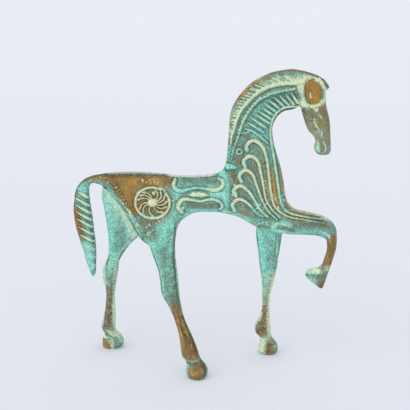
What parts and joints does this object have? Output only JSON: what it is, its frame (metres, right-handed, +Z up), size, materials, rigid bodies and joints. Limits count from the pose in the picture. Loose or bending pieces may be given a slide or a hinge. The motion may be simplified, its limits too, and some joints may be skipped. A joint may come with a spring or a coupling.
{
  "type": "bronze horse sculpture",
  "caption": "Flat cast bronze horse in an early Greek manner, one foreleg raised, with relief curls, a rosette and verdigris; stands on its hooves.",
  "frame": {"origin": "centre of the bounding box in plan, on the surface that the hooves stand on", "axes": "+X the way the horse faces, -Y the side that is worked most richly, +Z up"},
  "size_m": [0.1718, 0.0594, 0.1998],
  "materials": {
    "verdigris_bronze": "cast bronze with matte turquoise verdigris, pale green raised lines and rubbed golden brown patches"
  },
  "bodies": {
    "root": {"horse": "verdigris_bronze"}
  },
  "joints": []
}
